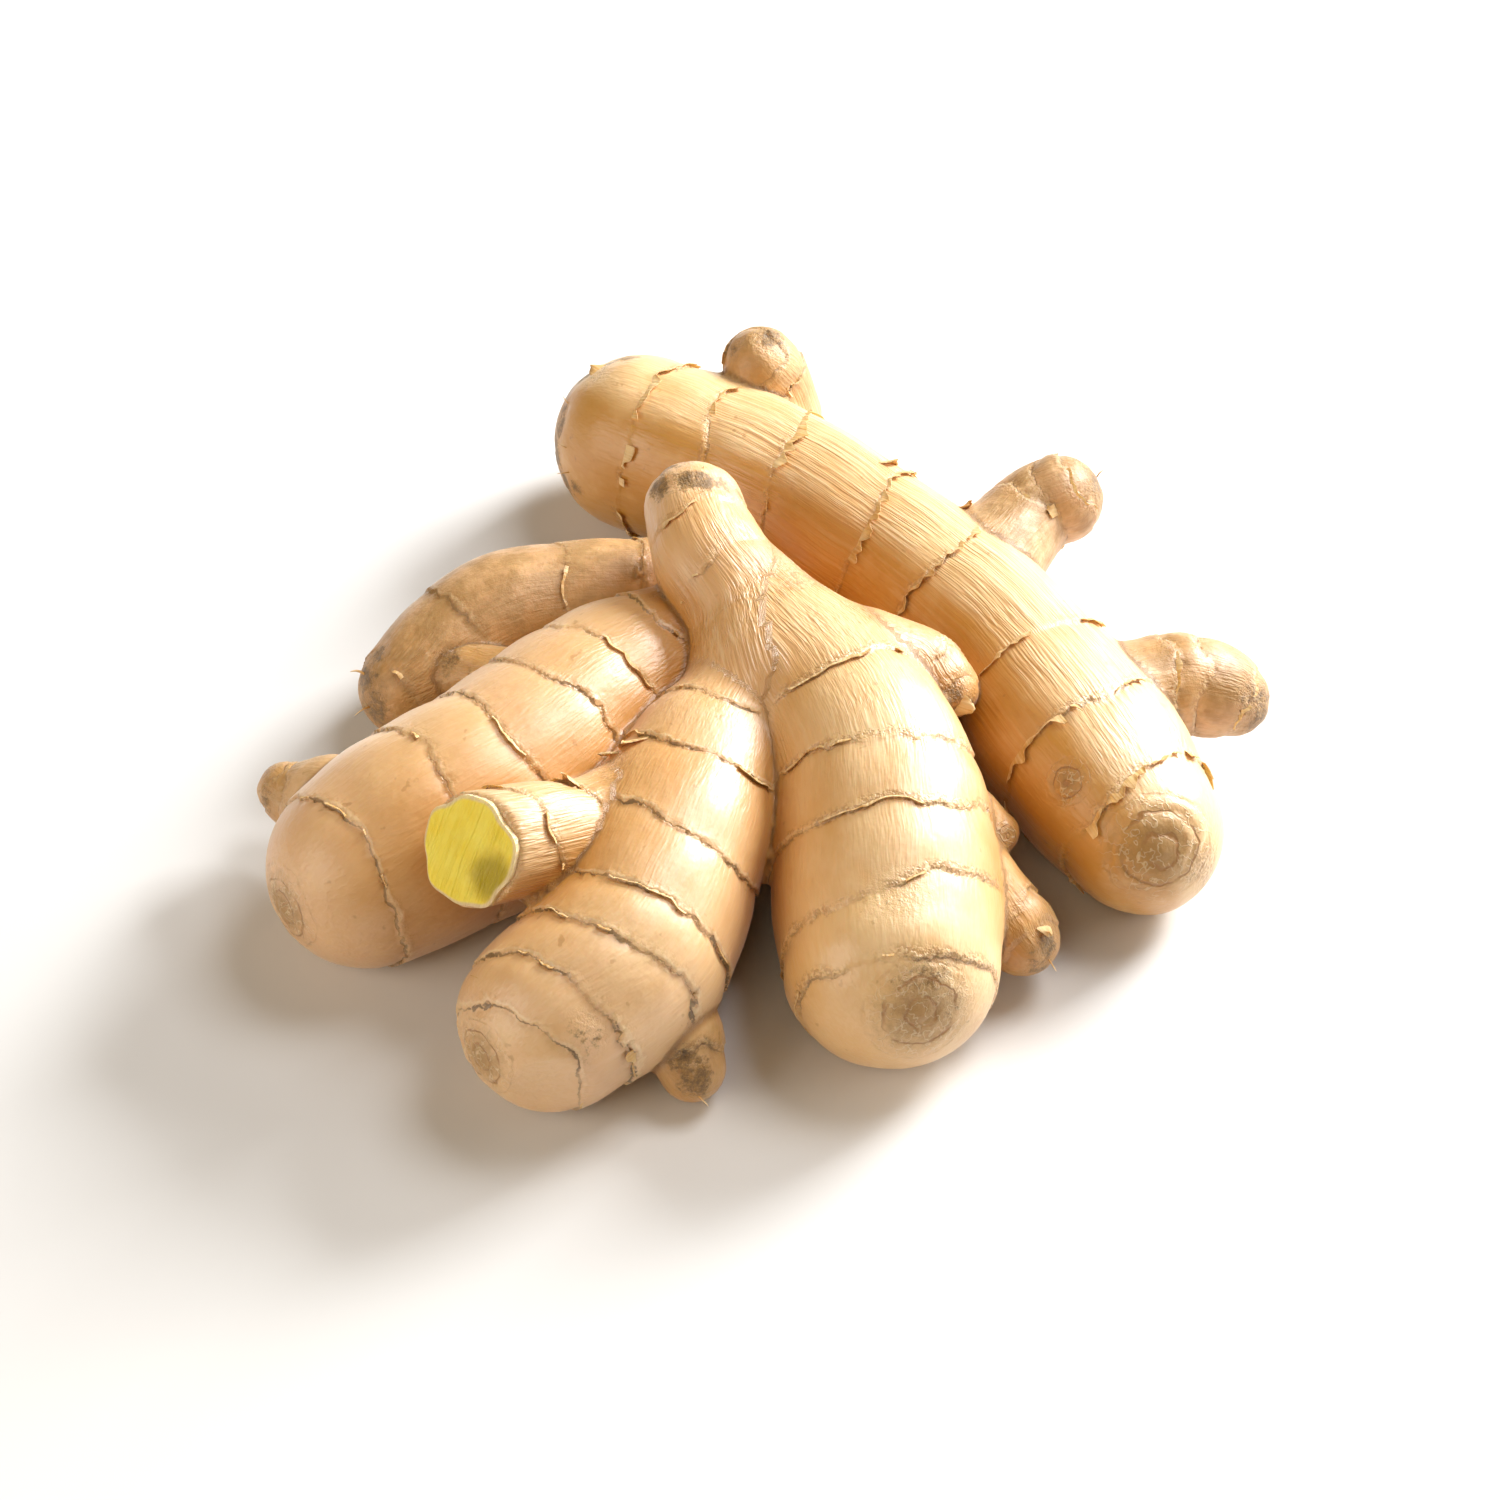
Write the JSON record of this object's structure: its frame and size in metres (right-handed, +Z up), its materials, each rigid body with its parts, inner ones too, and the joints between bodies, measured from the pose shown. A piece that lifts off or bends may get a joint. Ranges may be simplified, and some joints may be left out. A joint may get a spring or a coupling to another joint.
{
  "type": "ginger root",
  "caption": "Fresh ginger rhizome, a plump branched hand of ringed fingers with small side knobs and a cut stub showing yellow flesh.",
  "frame": {"origin": "on the surface that the rhizome lies on, under the middle of its outline seen from above", "axes": "+Z up; +X along the widest spread of the hand, from the left front arm's tip to the far knob; +Y away from the fork's two finger tips, towards the back arm"},
  "size_m": [0.1866, 0.1784, 0.0504],
  "materials": {
    "ginger_skin": "satin, fibrous, papery beige skin with darker scale rings",
    "ginger_flesh": "moist, fibrous pale yellow cut flesh"
  },
  "bodies": {
    "root": {"ginger_rhizome": "ginger_skin"}
  },
  "joints": []
}
